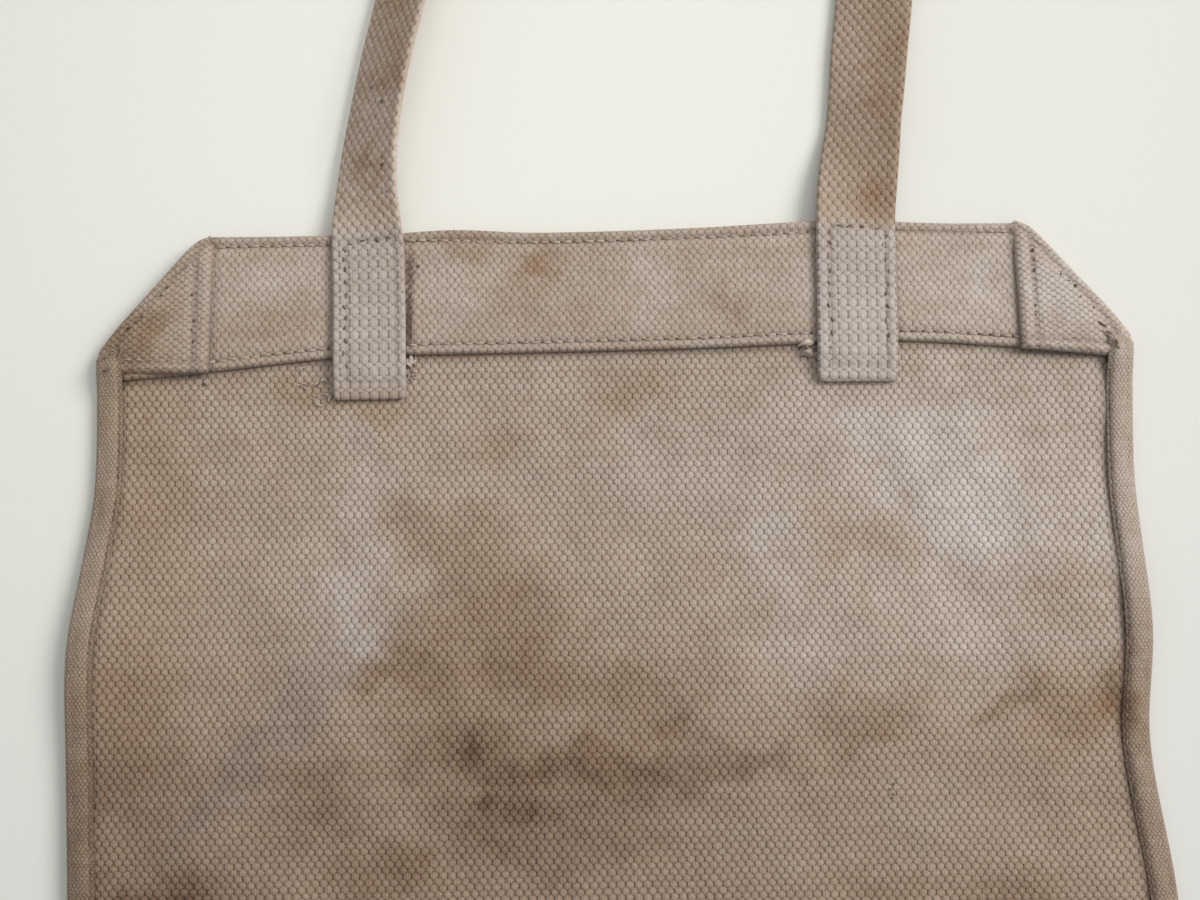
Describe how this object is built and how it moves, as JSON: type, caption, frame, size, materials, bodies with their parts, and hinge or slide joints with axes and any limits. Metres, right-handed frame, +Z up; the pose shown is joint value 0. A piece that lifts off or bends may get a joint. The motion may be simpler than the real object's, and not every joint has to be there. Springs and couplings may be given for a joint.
{
  "type": "military rucksack",
  "caption": "Soft webbing field pack lying on its back, hollow, with its bound and hemmed cover flap thrown open, closing straps laid out beyond it, and plain buckles.",
  "frame": {"origin": "middle of the footprint, on the surface that the pack lies on", "axes": "+Y from the pack's base to the closing straps' free ends, +Z up, +X the right-hand side of the open flap"},
  "size_m": [0.3618, 1.0042, 0.1024],
  "materials": {
    "webbing": "coarse woven, faded",
    "binding_tape": "fine twill, fuzzy",
    "strap_webbing": "coarse woven, worn",
    "aged_brass": "dull, tarnished"
  },
  "bodies": {
    "root": {"flap_panel": "webbing", "flap_hem": "webbing", "flap_corner_left": "webbing", "flap_corner_right": "webbing", "front_panel": "webbing", "back_panel": "webbing", "side_left": "webbing", "side_right": "webbing", "base_panel": "webbing", "flap_binding_left": "binding_tape", "flap_binding_right": "binding_tape", "strap_left": "strap_webbing", "strap_right": "strap_webbing", "closing_left_chape": "strap_webbing", "closing_right_chape": "strap_webbing", "shoulder_top_left_chape": "strap_webbing", "shoulder_top_right_chape": "strap_webbing", "shoulder_base_left_chape": "strap_webbing", "shoulder_base_right_chape": "strap_webbing", "closing_left_buckle": "aged_brass", "closing_right_buckle": "aged_brass", "shoulder_top_left_buckle": "aged_brass", "shoulder_top_right_buckle": "aged_brass", "shoulder_base_left_buckle": "aged_brass", "shoulder_base_right_buckle": "aged_brass"}
  },
  "joints": []
}
